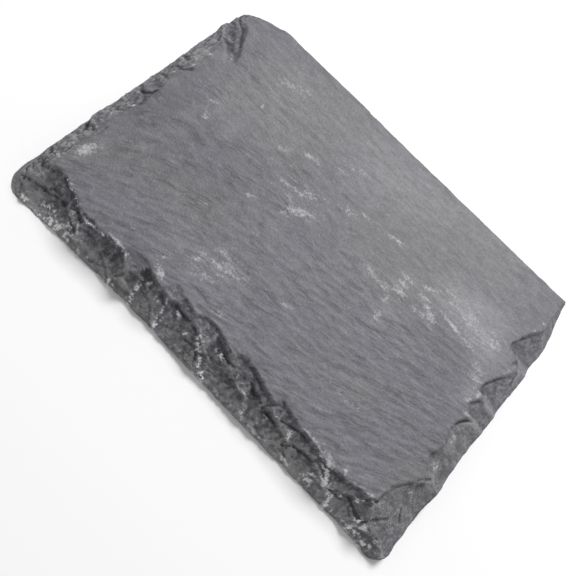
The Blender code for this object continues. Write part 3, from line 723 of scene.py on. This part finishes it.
@dataclass
class SlateSlab:
    """The slab itself, which stands for the one solid of the frame.

    Its top is a height over the plan, its walls run from the edge of that top to the foot, and its
    underside is flat. Values on its points tell the finish how each place was made. Sizes are in
    millimetres, and the points of the top stand closer where the edges are broken.
    """

    thickness: float = 22.0
    face_drop: float = 0.4
    rim: float = 0.8
    rim_softness: float = 0.4
    layer: float = 1.1
    wall_layer: float = 3.1
    wall_rows: int = 16
    foot: Outline = FOOT
    crown: Outline = CROWN
    spacing_x: Stations = ((-122, 0.72), (-112, 0.91), (112, 0.91), (120, 0.72))
    spacing_y: Stations = ((-74, 0.53), (-64, 1.08), (82, 1.08), (90, 0.80))
    dusting: Dusting = Dusting()
    toning: Toning = Toning()

    def flow(self, x: Array, y: Array) -> tuple[Array, Array]:
        """Distances along and across the ripples of the split face.

        Far from the near edge the ripples run along the slab. Towards it they climb to the right,
        more steeply the further they are from the middle: a ripple rises by 0.16 x + 0.0016 x |x|.
        The distance across is y less that rise, which starts at y = 50 and is whole at y = -80.

        Args:
            x: Places in plan.
            y: Places in plan.

        Returns:
            Distance along the ripples and distance across them.
        """
        near = rise(y, 50.0, -80.0)
        climb = near * (0.16 * x + 0.0016 * x * np.abs(x))
        wide_sway = 2.0 * gradient_noise(x / 60.0, y / 40.0, 11)
        sway = wide_sway + 1.2 * gradient_noise(x / 19.0, y / 15.0, 12)
        return x + 0.3 * near * y, y - climb + sway

    def face_relief(self, x: Array, y: Array) -> Array:
        """Height of the split face about its mean.

        Long swells, plus ripples along the flow, some 18 mm by 5 mm, and lumps of 8 mm by 2.8 mm.
        Grooves run where another stretched noise crosses 0: they are deepest there and end where
        it passes 0.13. The far half of the face is smoother.

        Args:
            x: Places in plan.
            y: Places in plan.

        Returns:
            Heights in millimetres.
        """
        along, across = self.flow(x, y)
        swell = 0.30 * gradient_noise(x / 60.0, y / 42.0, 21)
        swell += 0.16 * gradient_noise(x / 24.0, y / 15.0, 24)
        ripple = 0.34 * gradient_noise(along / 18.0, across / 5.0, 22)
        lumps = 0.24 * gradient_noise(along / 8.0, across / 2.8, 23)
        crossing = gradient_noise(along / 21.0, across / 7.5, 26)
        crossing += 0.10 * gradient_noise(x / 5.0, y / 5.0, 27)
        length = rise(1.4 * gradient_noise(along / 24.0, across / 9.0, 28) + 0.45)
        groove = 0.26 * length * rise(np.abs(crossing), 0.13, 0.0)
        return swell + (ripple + lumps - groove) * (1.0 - 0.7 * rise(y, -5.0, 40.0))

    def cracks(self, x: Array, y: Array) -> Array:
        """Depth of the cracks, each looked up at places that noise pushes about by 0.5 mm."""
        ragged_x, ragged_y = (v + 0.5 * fractal(x, y, 4.0, 2, seed) for v, seed in ((x, 51), (y, 53)))
        return sum(crack.depth(ragged_x, ragged_y) for crack in CRACKS)

    def ragged(self, x: Array, y: Array) -> tuple[Array, Array]:
        """Push the sides in and out by noise: 0.8 mm at the ends, 0.5 mm at the front and back.

        Args:
            x: Places in plan.
            y: Places in plan.

        Returns:
            The moved places.
        """
        push = fractal(x, y, 10.0, 4, 91)
        moved_x = x + 0.8 * push * rise(np.abs(x), 125.0, 147.0) * np.sign(x)
        return moved_x, y + 0.5 * push * rise(np.abs(y), 80.0, 98.0) * np.sign(y)

    def broken_depth(self, x: Array, y: Array) -> tuple[Array, Array]:
        """Depth of the broken edges below the split face, and where the stone is broken.

        The places are first pushed about by noise, which makes the arrises ragged, less so at the
        right. The deepest scar counts, and ledges and cracks are added to it. Crumbling is added by
        noise, coarse and then fine. Where more noise says so, the depth is drawn towards whole
        numbers of layers, which leaves the thin steps that slate breaks in.

        Args:
            x: Places in plan.
            y: Places in plan.

        Returns:
            Depths in millimetres, 0 on the split face, and a mask that is 1 on broken stone. The
            mask rises more slowly past a worn arris, which has a wide lip.
        """
        push = 1.6 - 0.9 * rise(x, 112.0, 120.0)
        ragged_x = x + push * fractal(x, y, 7.0, 4, 31)
        ragged_y = y + push * fractal(x, y, 6.0, 4, 36)
        depth, broken = np.zeros_like(x), np.zeros_like(x)
        for scar in SCARS:
            cut = scar.depth(ragged_x, ragged_y)
            depth = np.maximum(depth, cut)
            broken = np.maximum(broken, rise(cut, 0.0, 1.2 * scar.lip))
        cut = rise(depth, 0.0, 2.0)
        for ledge in LEDGES:
            depth += cut * ledge.depth(ragged_x, ragged_y)
        depth += self.cracks(x, y)
        crumbled = broken * rise(depth, 0.0, 3.0) * (1.0 + 0.5 * rise(x, -126.0, -130.0))
        fine = 0.75 - 0.5 * rise(x, 114.0, 122.0) * rise(y, -97.0, -92.0)
        lumps = 0.9 * fractal(x + 0.4 * y, y, 9.0, 2, 41) + fine * fractal(x, y, 2.4, 2, 43)
        depth += crumbled * lumps
        warped = depth + 1.3 * fractal(x, y, 8.0, 4, 45)
        whole = np.floor(warped / self.layer)
        part = warped / self.layer - whole
        stepped = (whole + rise((part - 0.5) * 2.6 + 0.5)) * self.layer
        drawn = np.minimum(crumbled, 1.0) * np.clip(0.2 + 0.9 * fractal(x, y, 14.0, 2, 49), 0.0, 0.6)
        return np.maximum(depth + drawn * (stepped - warped), 0.0), broken

    def heights(self, x: Array, y: Array) -> tuple[Array, Array]:
        """Height of the top above the foot, and where the stone is broken.

        It is the split face, a little below the full thickness, less the depth of the breaks. It
        never falls below the rim, which noise makes uneven, but bends into it: a height h above the
        rim becomes s ln(1 + exp(h / s)), where s is the rim's softness.

        Args:
            x: Places in plan.
            y: Places in plan.

        Returns:
            Heights in millimetres, and the mask of broken stone.
        """
        depth, broken = self.broken_depth(x, y)
        z = self.thickness - self.face_drop + (1.0 - broken) * self.face_relief(x, y) - depth
        rim = self.rim * (1.0 + 0.6 * fractal(x, y, 9.0, 3, 55))
        return rim + np.logaddexp(0.0, (z - rim) / self.rim_softness) * self.rim_softness, broken

    def walls(self, top: Array, foot: Array) -> Array:
        """Rows of points from the edge of the top down to the foot.

        Each row lies between the two rings, moved inwards by noise that jumps from one layer of
        some 3 mm to the next: about 0.3 mm on the low rims and 2.4 mm where the wall is tall. A
        point moves along x where it is near an end and along y where it is near the front or back.

        Args:
            top: The edge of the top, one row a point.
            foot: The foot, one row a point.

        Returns:
            An array of wall_rows by points by 3, the last row being the foot.
        """
        share = (np.arange(1, self.wall_rows + 1) / self.wall_rows)[:, None, None]
        rows = top[None] + (foot - top)[None] * share
        x, y, z = rows[..., 0], rows[..., 1], rows[..., 2]
        tall = rise(top[:, 2], 6.0, 16.0)[None]
        steps = np.hypot(*np.diff(foot[:, :2], axis=0).T)
        around = np.tile(np.concatenate([[0.0], np.cumsum(steps)]), (self.wall_rows, 1))
        warped = z + 1.6 * fractal(around, z, 26.0, 3, 61)
        layers = gradient_noise(around / 21.0, np.floor(warped / self.wall_layer) * 0.73, 64)
        lumps = fractal(around, z * 1.6, 8.0, 4, 67)
        ends = rise(6.0 * share[..., 0] * (1 - share[..., 0]))
        inwards = (0.3 + 2.1 * tall) * (0.9 + 1.5 * layers + 0.5 * lumps) * ends
        rows[..., 0] -= inwards * np.sign(x) * rise(np.abs(x), 124.0, 140.0)
        rows[..., 1] -= inwards * np.sign(y) * rise(np.abs(y), 78.0, 94.0)
        return rows

    def faces(self, index: Array, ring: Array) -> list[list[int]]:
        """Faces of the mesh: the squares of the top, the bands of the walls and the underside.

        Args:
            index: The number of each point of the top, in the shape of its grid.
            ring: The numbers of the points round the edge of the top.

        Returns:
            The point numbers of each face, the underside last.
        """
        squares = np.stack([index[:-1, :-1], index[:-1, 1:], index[1:, 1:], index[1:, :-1]], axis=-1)
        lower = index.size + np.arange(self.wall_rows * len(ring)).reshape(self.wall_rows, -1)
        levels = np.concatenate([ring[None, :], lower])
        beside = np.roll(levels, -1, axis=1)
        bands = np.stack([levels[:-1], levels[1:], beside[1:], beside[:-1]], axis=-1)
        faces = np.concatenate([squares.reshape(-1, 4), bands.reshape(-1, 4)]).tolist()
        return faces + [levels[-1][::-1].tolist()]

    def build(self) -> bpy.types.Object:
        """Make the mesh: a grid for the top, rows of points for the walls and a flat underside.

        Returns:
            The slab's object, in metres.
        """
        line_x = graded(self.foot.half_x, self.spacing_x)
        line_y = graded(self.foot.half_y, self.spacing_y)
        grid_x, grid_y = np.meshgrid(line_x, line_y)
        foot_x, foot_y = self.ragged(*self.foot.shape(grid_x, grid_y))
        top_x, top_y = self.ragged(*self.crown.shape(grid_x, grid_y))
        top_z, broken = self.heights(top_x, top_y)

        index = np.arange(grid_x.size).reshape(grid_x.shape)
        ring = np.concatenate([index[0, :-1], index[:-1, -1], index[-1, :0:-1], index[:0:-1, 0]])
        top = np.stack([top_x, top_y, top_z], axis=-1).reshape(-1, 3)
        foot = np.stack([foot_x, foot_y, np.zeros_like(foot_x)], axis=-1).reshape(-1, 3)
        walls = self.walls(top[ring], foot[ring])
        points = np.concatenate([top, walls.reshape(-1, 3)])

        data = bpy.data.meshes.new("slate_slab_surface")
        data.from_pydata(self.fitted(points) * MM, [], self.faces(index, ring))
        data.shade_smooth()
        data.polygons[-1].use_smooth = False
        tall = np.tile(rise(top[ring, 2], 4.0, 8.0), self.wall_rows)
        self.store(data, points, broken, np.concatenate([np.zeros(index.size), tall]))
        slab = bpy.data.objects.new("slate_slab_surface", data)
        bpy.context.scene.collection.objects.link(slab)
        return slab

    def fitted(self, points: Array) -> Array:
        """Bring the points' box to the frame's box, by a small stretch along each axis.

        Args:
            points: All points, in millimetres.

        Returns:
            The moved points.
        """
        low, high = points.min(axis=0), points.max(axis=0)
        box_low, box_high = (np.array(corner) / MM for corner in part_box("slate_slab"))
        return box_low + (points - low) / (high - low) * (box_high - box_low)

    def ridges(self, z: Array) -> Array:
        """Where the top stands above its surroundings.

        The height is blurred eight times, each time to (two of itself plus its four neighbours) over
        6. A ridge is the height less that blur, in units of 0.35 mm, held between -1 and 1.

        Args:
            z: Heights over the grid of the top.

        Returns:
            Ridges above 0 and hollows below it, in the shape of z.
        """
        blurred = z.copy()
        for _ in range(8):
            padded = np.pad(blurred, 1, mode="edge")
            beside = padded[:-2, 1:-1] + padded[2:, 1:-1] + padded[1:-1, :-2] + padded[1:-1, 2:]
            blurred = (beside + 2.0 * blurred) / 6.0
        return np.clip((z - blurred) / 0.35, -1.0, 1.0)

    def store(self, data: bpy.types.Mesh, points: Array, broken: Array, wall: Array) -> None:
        """Store what the finish reads at each point.

        `broken` is 1 on the coarse breaks of the near edge and 0.55 on the others. `tone` and
        `dust` come from the toning and the dusting. `warm` is the sum of the drifts plus noise,
        held between 0 and 1. `seam` is 1 where the split face shows hairlines and falls to 0.25 at
        the far right. `wall` is 1 on tall walls. `flow` is the ripple distances in millimetres.

        Args:
            data: The mesh.
            points: All its points, the top's first.
            broken: The mask over the top grid. The walls count as broken.
            wall: 1 at points of the tall walls and 0 on the top.
        """
        count = broken.size
        mask, ridge = np.ones(len(points)), np.zeros(len(points))
        mask[:count] = broken.ravel()
        ridge[:count] = self.ridges(points[:count, 2].reshape(broken.shape)).ravel()
        x, y = points[:, 0], points[:, 1]
        dust = self.dusting.cover(x, y, mask, ridge)
        stored = {
            "broken": mask * (0.55 + 0.45 * rise(y, -74.0, -82.0)),
            "tone": self.toning.tone(x, y, mask, ridge, dust, self.cracks(x, y)),
            "dust": dust,
            "warm": np.clip(covered(WARM, x, y) + 0.4 * fractal(x, y, 30.0, 3, 81), 0.0, 1.0),
            "seam": (1.0 - mask) * (1.0 - 0.75 * rise(y + 0.35 * x, 5.0, 55.0)),
            "wall": wall,
        }
        for name, values in stored.items():
            attribute = data.attributes.new(name, "FLOAT", "POINT")
            attribute.data.foreach_set("value", values.astype(np.float32))
        along, across = self.flow(x, y)
        flow = np.stack([along, across, np.zeros_like(along)], axis=-1).astype(np.float32)
        attribute = data.attributes.new("flow", "FLOAT_VECTOR", "POINT")
        attribute.data.foreach_set("vector", flow.ravel())


# --------------------------------------------------------------------------- finishes


def linear(code: str) -> tuple[float, float, float, float]:
    """Turn an sRGB hex value into linear light, each channel by the sRGB curve.

    Args:
        code: The value, such as "#6B6A71".

    Returns:
        Red, green and blue in linear light, and an alpha of 1.
    """
    parts = [int(code[place:place + 2], 16) / 255.0 for place in (1, 3, 5)]
    levels = [part / 12.92 if part <= 0.04045 else ((part + 0.055) / 1.055) ** 2.4 for part in parts]
    return (*levels, 1.0)


class Node(Enum):
    """Type names of the nodes that the finish is made of."""

    ATTRIBUTE = "ShaderNodeAttribute"
    BUMP = "ShaderNodeBump"
    HUE = "ShaderNodeHueSaturation"
    MATH = "ShaderNodeMath"
    MIX = "ShaderNodeMix"
    NOISE = "ShaderNodeTexNoise"
    PLACE = "ShaderNodeTexCoord"
    RAMP = "ShaderNodeValToRGB"
    VECTOR = "ShaderNodeVectorMath"


def add_node(
    tree: bpy.types.NodeTree,
    kind: Node,
    inputs: dict[int | str, object],
    out: int | str = 0,
    **settings: object,
) -> bpy.types.NodeSocket:
    """Add a node with its settings and links.

    Args:
        tree: The node tree.
        kind: Which node.
        inputs: For each input's name or place, a value, or an output socket to link.
        out: Name or place of the output to return.
        **settings: The node's own properties.

    Returns:
        That output socket.
    """
    node = tree.nodes.new(kind.value)
    for name, value in settings.items():
        setattr(node, name, value)
    for name, value in inputs.items():
        if isinstance(value, bpy.types.NodeSocket):
            tree.links.new(value, node.inputs[name])
        else:
            node.inputs[name].default_value = value
    return node.outputs[out]


@dataclass(frozen=True)
class Surface:
    """What sets one surface of the slate apart from the other.

    The pattern shades it by its contrast and raises it by its relief, in metres. Dust shows where
    dust_cover times the covering, the pattern, dust_grain times the grain and dust_offset add up to
    more than 0. It sets in as sharply as dust_edge says, and hides dust_most of the stone at most.
    """

    roughness: float
    relief: float
    contrast: float
    dust_offset: float
    dust_grain: float
    dust_edge: float
    dust_most: float


@dataclass(frozen=True)
class CleftSlate:
    """Natural slate, split and broken by hand.

    The split face is a dull blue-grey with long faint streaks, broken stone is darker and grainy,
    and pale stone dust lies in crumbs along the breaks and in rubs on the face. The sizes of its
    patterns are wavelengths in millimetres.
    """

    deep: str = "#47464A"
    middle: str = "#6B6A71"
    pale: str = "#8F8E92"
    dust: str = "#E8E8EA"
    split: Surface = Surface(
        roughness=0.56, relief=0.55 * MM, contrast=1.5,
        dust_offset=-0.80, dust_grain=0.25, dust_edge=2.6, dust_most=0.60,
    )
    broken: Surface = Surface(
        roughness=0.78, relief=1.3 * MM, contrast=2.6,
        dust_offset=-0.905, dust_grain=0.38, dust_edge=5.5, dust_most=1.0,
    )
    grain: float = 1.3
    crumble: float = 2.4
    streak: tuple[float, float] = (10.0, 3.2)
    bed: tuple[float, float] = (24.0, 1.2)
    hairline: tuple[float, float] = (16.0, 2.5)
    flock: tuple[float, float] = (26.0, 8.0)
    grain_share: float = 0.55
    hairline_band: float = 0.030
    hairline_painted_shade: float = -0.20
    hairline_relief: float = -0.12 * MM
    flock_edge: float = 8.0
    flock_offset: float = -3.9
    dust_cover: float = 0.36
    drift_saturation: float = 0.4
    drift_value: float = 0.98

    def material(self) -> bpy.types.Material:
        """Build the node material, which reads the values stored on the slab's points.

        Returns:
            The material.
        """
        material = bpy.data.materials.new("cleft_slate")
        material.use_nodes = True
        tree = material.node_tree
        at = {
            name: add_node(tree, Node.ATTRIBUTE, {}, "Fac", attribute_name=name)
            for name in ("broken", "tone", "dust", "warm", "seam", "wall")
        }
        at["flow"] = add_node(tree, Node.ATTRIBUTE, {}, "Vector", attribute_name="flow")
        broken = asdict(self.broken)
        for name, split in asdict(self.split).items():
            at[name] = add_node(tree, Node.MIX, {0: at["broken"], 2: split, 3: broken[name]})
        at["grain"], at["pattern"] = self.pattern(tree, at)
        at["hairlines"] = self.hairlines(tree, at)

        shader = tree.nodes["Principled BSDF"]
        dusted = {0: self.dusty(tree, at), 6: self.stone(tree, at), 7: linear(self.dust)}
        colour = add_node(tree, Node.MIX, dusted, 2, data_type="RGBA")
        tree.links.new(colour, shader.inputs["Base Color"])
        tree.links.new(at["roughness"], shader.inputs["Roughness"])
        height = add_node(tree, Node.MATH, {0: at["pattern"], 1: at["relief"]}, operation="MULTIPLY")
        cut = {0: at["hairlines"], 1: self.hairline_relief, 2: height}
        height = add_node(tree, Node.MATH, cut, operation="MULTIPLY_ADD")
        bump = add_node(tree, Node.BUMP, {"Height": height, "Distance": 1.0, "Strength": 1.0})
        tree.links.new(bump, shader.inputs["Normal"])
        return material

    def pattern(self, tree: bpy.types.NodeTree, at: Sockets) -> tuple[Socket, Socket]:
        """Add the pattern of the stone: a little over half grain, and streaks, crumble or beds.

        Args:
            tree: The node tree.
            at: What is known at each place of the stone, by name.

        Returns:
            The grain on its own, and the whole pattern.
        """
        place = add_node(tree, Node.PLACE, {}, "Object")
        # The grain gives the salt and pepper of mica and quartz. The real one is a tenth of a
        # millimetre or less, too fine to show, so it is drawn at 1.3 mm.
        even = {"Vector": place, "Scale": 1 / (self.grain * MM), "Detail": 3.0, "Roughness": 0.7}
        grain = add_node(tree, Node.NOISE, even)
        # crumble gives the sugary look of broken stone
        rough = {"Vector": place, "Scale": 1 / (self.crumble * MM), "Detail": 4.0, "Roughness": 0.7}
        crumble = add_node(tree, Node.NOISE, rough)
        # streaks give the split grain of the face
        scale = (1 / self.streak[0], 1 / self.streak[1], 0.0)
        drawn = add_node(tree, Node.VECTOR, {0: at["flow"], 1: scale}, operation="MULTIPLY")
        streaks = add_node(tree, Node.NOISE, {"Vector": drawn, "Scale": 1.0, "Detail": 3.0})
        coarse = add_node(tree, Node.MIX, {0: at["broken"], 2: streaks, 3: crumble})
        # beds give the walls the edges of their layers
        wide, thick = (1 / (size * MM) for size in self.bed)
        flat = add_node(tree, Node.VECTOR, {0: place, 1: (wide, wide, thick)}, operation="MULTIPLY")
        layered = {"Vector": flat, "Scale": 1.0, "Detail": 4.0, "Roughness": 0.6}
        beds = add_node(tree, Node.NOISE, layered)
        coarse = add_node(tree, Node.MIX, {0: at["wall"], 2: coarse, 3: beds})
        return grain, add_node(tree, Node.MIX, {0: self.grain_share, 2: coarse, 3: grain})

    def hairlines(self, tree: bpy.types.NodeTree, at: Sockets) -> Socket:
        """Add the hairline seams of the split face, some 12 mm long.

        They stand where a stretched noise is within 0.03 of its middle, and keep to flocks, where a
        wider noise is above 0.49.

        Args:
            tree: The node tree.
            at: What is known at each place of the stone, by name.

        Returns:
            1 on a hairline and 0 beside it.
        """
        scale = (1 / self.hairline[0], 1 / self.hairline[1], 0.0)
        drawn = add_node(tree, Node.VECTOR, {0: at["flow"], 1: scale}, operation="MULTIPLY")
        wavy = {"Vector": drawn, "Scale": 1.0, "Detail": 2.0, "Roughness": 0.45}
        level = add_node(tree, Node.NOISE, wavy)
        crossing = {0: level, 1: 0.5, 2: self.hairline_band}
        line = add_node(tree, Node.MATH, crossing, operation="COMPARE")
        scale = (1 / self.flock[0], 1 / self.flock[1], 0.0)
        drawn = add_node(tree, Node.VECTOR, {0: at["flow"], 1: scale}, operation="MULTIPLY")
        flock = add_node(tree, Node.NOISE, {"Vector": drawn, "Scale": 1.0, "Detail": 2.0})
        sharper = {0: flock, 1: self.flock_edge, 2: self.flock_offset}
        flock = add_node(tree, Node.MATH, sharper, operation="MULTIPLY_ADD", use_clamp=True)
        line = add_node(tree, Node.MATH, {0: line, 1: flock}, operation="MULTIPLY")
        return add_node(tree, Node.MATH, {0: line, 1: at["seam"]}, operation="MULTIPLY")

    def stone(self, tree: bpy.types.NodeTree, at: Sockets) -> Socket:
        """Add the colour of bare stone.

        Its shade is the tone, plus contrast times (pattern less 0.5), and darker on hairlines as
        painted shade of their grooves. The shade runs from the deep colour over the middle one to the
        pale one, and drifts take most of the violet out of it.

        Args:
            tree: The node tree.
            at: What is known at each place of the stone, by name.

        Returns:
            The colour.
        """
        shade = add_node(tree, Node.MATH, {0: at["pattern"], 1: -0.5}, operation="ADD")
        toned = {0: shade, 1: at["contrast"], 2: at["tone"]}
        shade = add_node(tree, Node.MATH, toned, operation="MULTIPLY_ADD")
        # painted shade along the hairlines
        lined = {0: at["hairlines"], 1: self.hairline_painted_shade, 2: shade}
        shade = add_node(tree, Node.MATH, lined, operation="MULTIPLY_ADD")
        violet = add_node(tree, Node.RAMP, {0: shade})
        ramp = violet.node.color_ramp
        ramp.elements.new(0.5)
        for element, colour in zip(ramp.elements, (self.deep, self.middle, self.pale)):
            element.color = linear(colour)
        drift = {"Color": violet, "Saturation": self.drift_saturation, "Value": self.drift_value}
        grey = add_node(tree, Node.HUE, drift)
        return add_node(tree, Node.MIX, {0: at["warm"], 6: violet, 7: grey}, 2, data_type="RGBA")

    def dusty(self, tree: bpy.types.NodeTree, at: Sockets) -> Socket:
        """Add the crumbs of dust, by the sum that the class Surface gives.

        Args:
            tree: The node tree.
            at: What is known at each place of the stone, by name.

        Returns:
            How far dust hides the stone, from 0 to 1.
        """
        covering = {0: at["dust"], 1: self.dust_cover, 2: at["dust_offset"]}
        dusty = add_node(tree, Node.MATH, covering, operation="MULTIPLY_ADD")
        dusty = add_node(tree, Node.MATH, {0: dusty, 1: at["pattern"]}, operation="ADD")
        speckled = {0: at["grain"], 1: at["dust_grain"], 2: dusty}
        dusty = add_node(tree, Node.MATH, speckled, operation="MULTIPLY_ADD")
        sharper = {0: dusty, 1: at["dust_edge"]}
        dusty = add_node(tree, Node.MATH, sharper, operation="MULTIPLY", use_clamp=True)
        return add_node(tree, Node.MATH, {0: dusty, 1: at["dust_most"]}, operation="MULTIPLY")


# --------------------------------------------------------------------------- studio


@dataclass(frozen=True)
class Studio:
    """Floor, light, room and camera. Sizes are in metres where their names don't say mm."""

    aim_mm: tuple[float, float, float] = (6.965, -25.618, 12.0)
    distance_mm: float = 370.588
    azimuth: float = 6.082
    elevation: float = 67.035
    roll: float = 39.457
    lens_mm: float = 40.0
    sensor_mm: float = 36.0
    key_place: tuple[float, float, float] = (-0.02, 1.22, 1.58)
    key_size: float = 0.85
    key_power: float = 36.0
    room: float = 0.36
    floor_half: float = 4.0

    def camera(self) -> bpy.types.Object:
        """Add the camera: on a sphere round its aim, and rolled about its own axis.

        Returns:
            The camera's object.
        """
        azimuth, elevation, roll = (math.radians(a) for a in (self.azimuth, self.elevation, self.roll))
        back = Vector((
            math.sin(azimuth) * math.cos(elevation),
            -math.cos(azimuth) * math.cos(elevation),
            math.sin(elevation),
        ))
        right = Vector((0, 0, 1)).cross(back).normalized()
        up = back.cross(right)
        rolled_right = math.cos(roll) * right + math.sin(roll) * up
        rolled_up = -math.sin(roll) * right + math.cos(roll) * up
        data = bpy.data.cameras.new("camera")
        data.lens = self.lens_mm
        data.sensor_width = self.sensor_mm
        data.clip_start = 0.01
        camera = bpy.data.objects.new("camera", data)
        bpy.context.scene.collection.objects.link(camera)
        place = Matrix((rolled_right, rolled_up, back)).transposed().to_4x4()
        place.translation = (Vector(self.aim_mm) + back * self.distance_mm) * MM
        camera.matrix_world = place
        bpy.context.scene.camera = camera
        return camera

    def light(self) -> bpy.types.Object:
        """Add the key: a square softbox aimed at the slab.

        Returns:
            The light's object.
        """
        data = bpy.data.lights.new("key", "AREA")
        data.size = self.key_size
        data.energy = self.key_power
        light = bpy.data.objects.new("key", data)
        light.location = self.key_place
        light.rotation_euler = Vector(self.key_place).to_track_quat("Z", "Y").to_euler()
        bpy.context.scene.collection.objects.link(light)
        return light

    def floor(self) -> bpy.types.Object:
        """Add the floor: one plain sheet of matt white paper.

        Returns:
            The floor's object.
        """
        edge = self.floor_half
        corners = [(-edge, -edge, 0), (edge, -edge, 0), (edge, edge, 0), (-edge, edge, 0)]
        data = bpy.data.meshes.new("floor")
        data.from_pydata(corners, [], [(0, 1, 2, 3)])
        floor = bpy.data.objects.new("floor", data)
        bpy.context.scene.collection.objects.link(floor)
        material = bpy.data.materials.new("matt_paper")
        material.use_nodes = True
        shader = material.node_tree.nodes["Principled BSDF"]
        shader.inputs["Base Color"].default_value = linear("#FFFFFF")
        shader.inputs["Roughness"].default_value = 0.9
        data.materials.append(material)
        return floor

    def build(self) -> None:
        """Add the floor, the key, the room's own soft light and the camera."""
        self.floor()
        self.light()
        world = bpy.data.worlds.new("soft_room")
        world.use_nodes = True
        background = world.node_tree.nodes["Background"]
        background.inputs["Color"].default_value = (1.0, 1.0, 1.0, 1.0)
        background.inputs["Strength"].default_value = self.room
        bpy.context.scene.world = world
        bpy.context.scene.view_settings.view_transform = "Standard"
        self.camera()


def main() -> None:
    """Build the slab and the studio, and report each piece."""
    logging.basicConfig(level=logging.INFO, format="%(name)s: %(message)s")
    piece = SlateSlab().build()
    piece.data.materials.append(CleftSlate().material())
    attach(piece, "root")
    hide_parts("slate_slab")
    LOG.info("%s: %d points, %d faces", piece.name, len(piece.data.vertices), len(piece.data.polygons))
    Studio().build()
    LOG.info("studio: floor, key light, room and camera")


if __name__ == "__main__":
    main()
